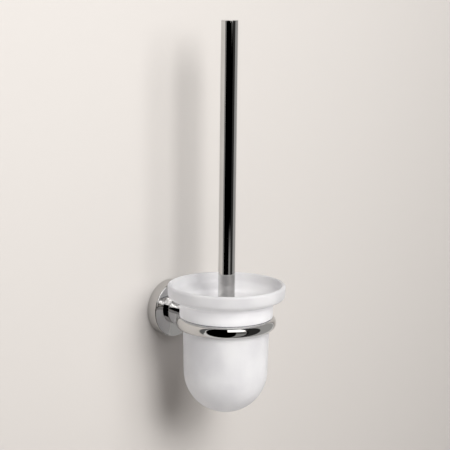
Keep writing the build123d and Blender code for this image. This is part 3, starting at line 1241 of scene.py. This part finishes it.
@dataclass(frozen=True)
class Handle:
    """The chrome tube with its cap, its threaded insert and the seal under it."""

    body: str = "handle"
    wall: float = 0.8 * MM
    edge: float = 0.3 * MM
    bore_edge: float = 0.12 * MM
    cap_flange: float = 1.2 * MM
    cap_crown: float = 0.5 * MM
    plug_gap: float = 0.05 * MM
    seal_bore: float = 4.2 * MM
    seal_bulge: float = 0.5 * MM
    seal_edge: float = 0.2 * MM

    def tube(self) -> bpy.types.Object:
        """Makes the tube with rolled ends.

        Returns:
            The tube.
        """
        box = Box.of("handle_tube")
        low, high, outer, inner = box.low.z, box.high.z, box.radius, box.radius - self.wall
        seam = (inner + self.edge, low)
        line = Outline(seam).rounded(
            (outer, low, self.edge),
            (outer, high, self.bore_edge),
            (inner, high, self.bore_edge),
            (inner, low, self.edge),
            seam,
            steps=4,
        )
        return box.lathe(128).turn("tube", line)

    def cap(self) -> bpy.types.Object:
        """Makes the cap: a flat disc with a rounded edge and a hollow plug with two grip ribs.

        Returns:
            The cap.
        """
        box = Box.of("handle_cap")
        low, high, outer = box.low.z, box.high.z, box.radius
        rib, bore, flange = outer - self.wall - self.plug_gap, (outer - self.wall) / 2, high - self.cap_flange
        groove = rib - 0.3 * MM
        line = Outline((0.0, flange)).line((bore, flange), (bore, low + 0.3 * MM), (bore + 0.3 * MM, low))
        line.rounded(
            (rib - 0.5 * MM, low, 0.2 * MM),
            (rib, low + 0.8 * MM, 0.2 * MM),
            (rib, low + 2.4 * MM),
            (groove, low + 2.7 * MM),
            (groove, low + 3.5 * MM),
            (rib, low + 3.8 * MM),
            (rib, flange),
            (outer, flange, self.bore_edge),
            (outer, high, self.cap_crown),
            (0.0, high),
        )
        return box.lathe(128).turn("cap", line)

    def washer(self) -> bpy.types.Object:
        """Makes the seal: a washer with a soft bulged edge.

        Returns:
            The washer.
        """
        box = Box.of("seal_washer")
        low, high, bulge, bore = box.low.z, box.high.z, self.seal_bulge, self.seal_bore
        seam = (bore + 0.3 * MM, low)
        line = Outline(seam).line((box.radius - bulge, low))
        line.arc((box.radius - bulge, (low + high) / 2), (bulge, box.height / 2), -90, 90, 10)
        line.rounded((bore, high, self.seal_edge), (bore, low, self.seal_edge), seam, steps=4)
        return box.lathe(96).turn("seal", line)

    def build(self, nodes: Nodes) -> None:
        """Builds and dresses the handle.

        Args:
            nodes: The CAD nodes by name.
        """
        fit(self.tube(), self.body, CHROME, "handle_tube")
        fit(self.cap(), self.body, CHROME, "handle_cap")
        fit(self.washer(), self.body, RUBBER, "seal_washer")
        keep(nodes, {"handle_insert": BRASS})


@dataclass(frozen=True)
class BrushHead:
    """The replaceable head: stud, moulded core and its tufts."""

    body: str = "head"
    core_radius: float = 7.0 * MM
    core_nose: float = 3.5 * MM
    hub_height: float = 10.0 * MM
    hub_seat: float = 9.0 * MM
    core_bore: float = 4.05 * MM
    bore_depth: float = 15.05 * MM
    bore_lead: float = 0.4 * MM
    stud_lead: float = 0.66 * MM
    root_depth: float = 0.6 * MM
    row_pitch: float = 3.9 * MM
    row_top: float = 1.6 * MM
    row_foot: float = 1.0 * MM
    side_margin: float = 0.7 * MM
    tip_margin: float = 0.8 * MM
    top_trim: float = 5.5 * MM
    top_trim_height: float = 3.2 * MM
    tufts_round: int = 16
    tip_tufts: int = 118
    filaments: int = 38
    filament: float = 0.42 * MM
    bundle: float = 0.9 * MM
    ragged: float = 0.05
    wave: float = 2.4 * MM

    def core(self) -> bpy.types.Object:
        """Makes the core: a domed hub with two steps, and the stem that carries the tufts.

        Returns:
            The core.
        """
        box = Box.of("head_core")
        low, high, hub, seat = box.low.z, box.high.z, box.radius, self.hub_seat
        base, floor = high - self.hub_height, high - self.bore_depth
        step = hub - 0.5 * MM
        line = Outline((0.0, low))
        line.rounded((self.core_radius, low, self.core_nose), (self.core_radius, base, 0.6 * MM), (hub, base))
        line.rounded(
            (hub, base + 1.8 * MM, 0.3 * MM),
            (step, base + 2.1 * MM, 0.2 * MM),
            (step, base + 3.4 * MM, 2.0 * MM),
            (seat + 0.6 * MM, high - 0.9 * MM, 0.4 * MM),
            (seat, high, 0.5 * MM),
            (self.core_bore + self.bore_lead, high),
            (self.core_bore, high - self.bore_lead),
            (self.core_bore, floor),
            (0.0, floor),
            steps=6,
        )
        return box.lathe(128).turn("core", line)

    def stud(self, cutter: ThreadCutter) -> bpy.types.Object:
        """Makes the threaded stud between head and handle.

        Args:
            cutter: The tree that cuts threads.

        Returns:
            The stud.
        """
        box = Box.of("head_stud")
        radius, length, lead = box.radius, box.height, self.stud_lead
        line = Outline((0.0, 0.0)).line((radius - lead, 0.0), (radius, lead))
        line.line((radius, length - lead), (radius - lead, length), (0.0, length))
        thread = Thread(0.4 * MM, length - 0.4 * MM, 1.25 * MM, 0.62 * MM, 2.9 * MM)
        return cutter.shaft("stud", box.lathe(72, box.low.z), line, thread)

    def roots(self, name: str, tufts: list[Tuft]) -> bpy.types.Object:
        """Makes the points that tufts grow from.

        Args:
            name: The object's name.
            tufts: Place, direction and length of each tuft.

        Returns:
            The points, with the attributes that the tree reads.
        """
        places, ways, lengths = (np.array(column, np.float32) for column in zip(*tufts))
        piece = mesh_object(name, places, [])
        aims = piece.data.attributes.new("aim", "FLOAT_VECTOR", "POINT")
        aims.data.foreach_set("vector", ways.ravel())
        reaches = piece.data.attributes.new("reach", "FLOAT", "POINT")
        reaches.data.foreach_set("value", lengths)
        return piece

    def side_layout(self) -> list[Tuft]:
        """Lays out the rings of tufts on the stem, each turned half a step from the last.

        Returns:
            Place, direction and length of each tuft.
        """
        box = Box.of("side_bristles")
        axis = box.axis
        tufts, root = [], self.core_radius - self.root_depth
        field = box.height - self.row_top - self.row_foot
        rows = int((field + 0.1 * MM) / self.row_pitch)
        for row in range(rows + 1):
            z = box.high.z - self.row_top - row * field / rows
            trim = self.top_trim * math.exp(-((box.high.z - z) / self.top_trim_height) ** 2)
            for k in range(self.tufts_round):
                angle = 2 * math.pi * (k + 0.5 * (row % 2)) / self.tufts_round
                tilt = -0.10 + 0.03 * math.sin(5.0 * k + 3.0 * row)
                c, s = math.cos(angle), math.sin(angle)
                aim = (c * math.cos(tilt), s * math.cos(tilt), math.sin(tilt))
                reach = (box.radius - self.side_margin - trim - root) / math.cos(tilt)
                tufts.append(((root * c, axis + root * s, z), aim, reach))
        return tufts

    def tip_layout(self) -> list[Tuft]:
        """Lays out the tufts of the domed tip on the stem's end, spread evenly over the dome.

        Returns:
            Place, direction and length of each tuft.
        """
        box = Box.of("tip_bristles")
        stem = Box.of("head_core").low.z - box.high.z
        root, golden_turn = self.core_radius - self.root_depth, math.pi * (3 - math.sqrt(5))
        centre = np.array([0.0, box.axis, box.high.z])
        tufts = []
        for k in range(self.tip_tufts):
            dive = math.asin(min(1.0, (k + 0.5) / self.tip_tufts * 0.985 + 0.03))
            share = dive / (math.pi / 2)
            c, s = math.cos(k * golden_turn), math.sin(k * golden_turn)
            way = np.array([c * math.cos(dive), s * math.cos(dive), -math.sin(dive)])
            end = way * (box.radius - self.tip_margin)
            radius = root * (1 - max(0.0, share - 0.55) / 0.45)
            start = np.array([radius * c, radius * s, stem * min(1.0, share / 0.6) + self.tip_margin])
            reach = float(np.linalg.norm(end - start))
            tufts.append((tuple(centre + start), tuple((end - start) / reach), reach))
        return tufts

    def build(self, cutter: ThreadCutter) -> None:
        """Builds and dresses the head.

        Args:
            cutter: The tree that cuts threads.
        """
        fit(self.core(), self.body, CORE, "head_core")
        fit(self.stud(cutter), self.body, STEEL, "head_stud")
        tufting = TuftField()
        values = {
            "Filaments": self.filaments,
            "Bundle": self.bundle,
            "Thickness": self.filament,
            "Ragged": self.ragged,
            "Wave": self.wave,
        }
        for name, node, layout, fan, seed in (
            ("side_tufts", "side_bristles", self.side_layout(), 0.11, 11),
            ("tip_tufts", "tip_bristles", self.tip_layout(), 0.10, 23),
        ):
            piece = self.roots(name, layout)
            tufting.run(piece, BRISTLE, {**values, "Fan": fan, "Seed": seed})
            fit(piece, self.body, BRISTLE, node)


# --- Studio ---------------------------------------------------------------------------------------


@dataclass(frozen=True)
class Lamp:
    """A soft rectangular light that is turned to the ring.

    Attributes:
        name: Its name.
        size: Width and height.
        energy: Power in watts.
        turn: How far to the left of straight ahead it hangs, in degrees.
        tilt: How far up it hangs, in degrees.
    """

    name: str
    size: Pair
    energy: float
    turn: float
    tilt: float
    distance: float = 1.6
    target: float = 20 * MM
    colour: Triple = (1.0, 0.985, 0.965)

    def hang(self) -> None:
        """Hangs the light, which neither the camera nor mirrors see."""
        light = bpy.data.lights.new(self.name, "AREA")
        light.shape, light.size, light.size_y = "RECTANGLE", *self.size
        light.energy, light.color = self.energy, self.colour
        lamp = bpy.data.objects.new(self.name, light)
        bpy.context.scene.collection.objects.link(lamp)
        side, lift = math.radians(self.turn), math.radians(self.tilt)
        out = Vector((-math.sin(side) * math.cos(lift), -math.cos(side) * math.cos(lift), math.sin(lift)))
        lamp.location = Vector((0.0, ring_axis(), self.target)) + out * self.distance
        lamp.rotation_mode = "QUATERNION"
        lamp.rotation_quaternion = (-out).to_track_quat("-Z", "Y")
        lamp.visible_camera = lamp.visible_glossy = False


@dataclass(frozen=True)
class Studio:
    """Wall and floor cards, two soft lights, the surroundings that chrome mirrors, and the camera.

    Attributes:
        azimuth: Turn of the view from straight at the wall, in degrees.
        pitch: How far the view looks down, in degrees.
        roll: Lean of the picture, in degrees.
        lens: Focal length for a sensor 36 mm wide.
        place: The camera's place from the ring's middle: to the right, up and forward.
        lamps: The lights.
        card: Colour of the cards.
        shade: Brightness of the wall's unlit side in mirrors.
        shade_edge: Where along the wall that side starts and where it is full.
        back: How far the wall card hangs behind the wall plane.
        floor: Height of the floor card.
        reach: The cards' half width, the wall card's top and the floor card's front.
        sky: What the camera sees beside the cards.
        through: What light that came through glass sees beside the cards.
        fill: Light from all around on everything that isn't a mirror.
    """

    azimuth: float = 44.4
    pitch: float = 10.68
    roll: float = 0.67
    lens: float = 123.39
    place: Triple = (-1.08 * MM, 92.5 * MM, -1.4772)
    lamps: tuple[Lamp, ...] = (
        Lamp("key", (0.55, 0.7), 17.5, 16.5, 33),
        Lamp("soft", (1.35, 1.1), 28.5, 5, 30),
    )
    card: Triple = (0.50, 0.481, 0.466)
    shade: float = 0.15
    shade_edge: Pair = (-0.30, -0.42)
    back: float = 0.3 * MM
    floor: float = -0.32
    reach: Triple = (2.2, 2.6, -3.0)
    sky: Triple = (0.80, 0.765, 0.745)
    through: Triple = (0.46, 0.46, 0.475)
    fill: float = 0.04

    def view_axes(self) -> tuple[Vector, Vector, Vector]:
        """Gives the camera's directions.

        Returns:
            Right, up and forward.
        """
        a, p, r = (math.radians(v) for v in (self.azimuth, self.pitch, self.roll))
        forward = Vector((math.sin(a) * math.cos(p), math.cos(a) * math.cos(p), -math.sin(p)))
        right = Vector((math.cos(a), -math.sin(a), 0.0))
        up = right.cross(forward)
        return right * math.cos(r) + up * math.sin(r), up * math.cos(r) - right * math.sin(r), forward

    def camera(self) -> None:
        """Places the camera and makes it the scene's."""
        axes = self.view_axes()
        right, up, forward = axes
        data = bpy.data.cameras.new("camera")
        data.sensor_width, data.lens = 36.0, self.lens
        data.clip_start, data.clip_end = 0.05, 50.0
        camera = bpy.data.objects.new("camera", data)
        bpy.context.scene.collection.objects.link(camera)
        place = Vector((0.0, ring_axis(), 0.0))
        for axis, step in zip(axes, self.place):
            place += axis * step
        rows = [(right[i], up[i], -forward[i], place[i]) for i in range(3)]
        camera.matrix_world = Matrix([*rows, (0, 0, 0, 1)])
        bpy.context.scene.camera = camera

    def paper(self) -> bpy.types.Material:
        """Makes the cards' matt paper, which can't be seen from behind.

        Returns:
            The material.
        """
        skin = Skin("paper")
        mottle = skin.span(skin.noise(1.1, 2.0), 0.3, 0.7)
        skin.wear({
            "Base Color": skin.blend(mottle, solid(self.card), solid(self.card, 0.985)),
            "Roughness": 0.95,
            "Specular IOR Level": 0.0,
        })
        mirrored = skin.add("ShaderNodeLightPath").outputs["Is Glossy Ray"]
        unlit = skin.times(mirrored, skin.span(skin.along(0), *self.shade_edge))
        dark = skin.add("ShaderNodeEmission", {0: solid((self.shade,) * 3)}).outputs[0]
        front = skin.mixed(unlit, skin.principled.outputs[0], dark)
        nothing = skin.add("ShaderNodeBsdfTransparent").outputs[0]
        behind = skin.add("ShaderNodeNewGeometry").outputs["Backfacing"]
        skin.show(skin.mixed(behind, front, nothing))
        return skin.material

    def cards(self) -> None:
        """Hangs the wall card and lays the floor card, which mirrors don't see."""
        paper = self.paper()
        (half, top, front), back, floor = self.reach, self.back, self.floor
        wall = [(-half, back, floor), (half, back, floor), (half, back, top), (-half, back, top)]
        ground = [(-half, front, floor), (half, front, floor), (half, back, floor), (-half, back, floor)]
        for name, places in (("wall_card", wall), ("floor_card", ground)):
            card = mesh_object(name, np.array(places), [[0, 1, 2, 3]])
            card.data.materials.append(paper)
        card.visible_glossy = False

    def between(self, wire: Wiring, value: Socket, low: float, high: float) -> Socket:
        """Gives 1 between two values of a socket and 0 outside them.

        Args:
            wire: The world's wiring.
            value: The value.
            low: Where the 1 starts.
            high: Where it ends.

        Returns:
            The value from 0 to 1, with soft edges.
        """
        soft = 1.2
        over = wire.span(value, low - soft, low + soft)
        return wire.times(over, wire.span(value, high + soft, high - soft))

    def mirror_world(self, wire: Wiring) -> Socket:
        """Paints what chrome mirrors: a dark studio with panels, placed in degrees from the camera.

        Args:
            wire: The world's wiring.

        Returns:
            The colour in each direction.
        """
        way = wire.add("ShaderNodeTexCoord").outputs["Generated"]
        a = math.radians(self.azimuth)
        towards = wire.dot(way, (-math.sin(a), -math.cos(a), 0.0))
        right = wire.dot(way, (math.cos(a), -math.sin(a), 0.0))
        height = wire.add("ShaderNodeSeparateXYZ", {0: way}).outputs[2]
        turn = wire.times(wire.math("ARCTAN2", right, towards), 180 / math.pi)
        rise = wire.times(wire.math("ARCSINE", height), 180 / math.pi)
        softbox = wire.times(self.between(wire, turn, 4, 48), self.between(wire, rise, 19, 58))
        under_box = wire.times(self.between(wire, turn, 23, 48), wire.span(rise, 20, 18))
        gap = wire.times(wire.span(rise, -2, -4), wire.span(rise, -12, -10.5))
        grey_side = self.between(wire, turn, 84, 134)
        dim_side = self.between(wire, turn, 52, 84)
        behind = wire.math("SUBTRACT", 1.0, self.between(wire, turn, -45.6, 134))
        glow = wire.times(softbox, 2.6)
        for panel, brightness in (
            (under_box, wire.math("MULTIPLY_ADD", gap, -0.30, 0.30)),
            (grey_side, 0.42),
            (dim_side, 0.035),
            (behind, 0.8),
        ):
            glow = wire.math("MULTIPLY_ADD", panel, brightness, glow)
        return wire.scaled((1.0, 0.985, 0.965), glow)

    def surroundings(self) -> None:
        """Makes the world: pale to the camera, panels to mirrors, a soft fill to the rest."""
        world = bpy.data.worlds.new("studio")
        bpy.context.scene.world = world
        world.use_nodes = True
        wire = Wiring(world.node_tree)
        ray = wire.add("ShaderNodeLightPath").outputs
        passed = ray["Is Transmission Ray"]
        mirrored = wire.times(ray["Is Glossy Ray"], wire.math("SUBTRACT", 1.0, passed))
        seen = wire.blend(mirrored, solid((self.fill,) * 3), self.mirror_world(wire))
        seen = wire.blend(passed, seen, solid(self.through))
        seen = wire.blend(ray["Is Camera Ray"], seen, solid(self.sky))
        wire.feed(world.node_tree.nodes["Background"].inputs["Color"], seen)

    def build(self) -> None:
        """Builds the studio."""
        self.camera()
        self.cards()
        for lamp in self.lamps:
            lamp.hang()
        self.surroundings()
        bpy.context.scene.view_settings.view_transform = "Standard"


def main() -> None:
    """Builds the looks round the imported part."""
    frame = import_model()
    Studio().build()
    cutter = ThreadCutter()
    WallMount().build(frame["nodes"], cutter)
    Cup().build()
    Handle().build(frame["nodes"])
    BrushHead().build(cutter)


if __name__ == "__main__":
    logging.basicConfig(level=logging.INFO, format="%(name)s: %(message)s")
    main()
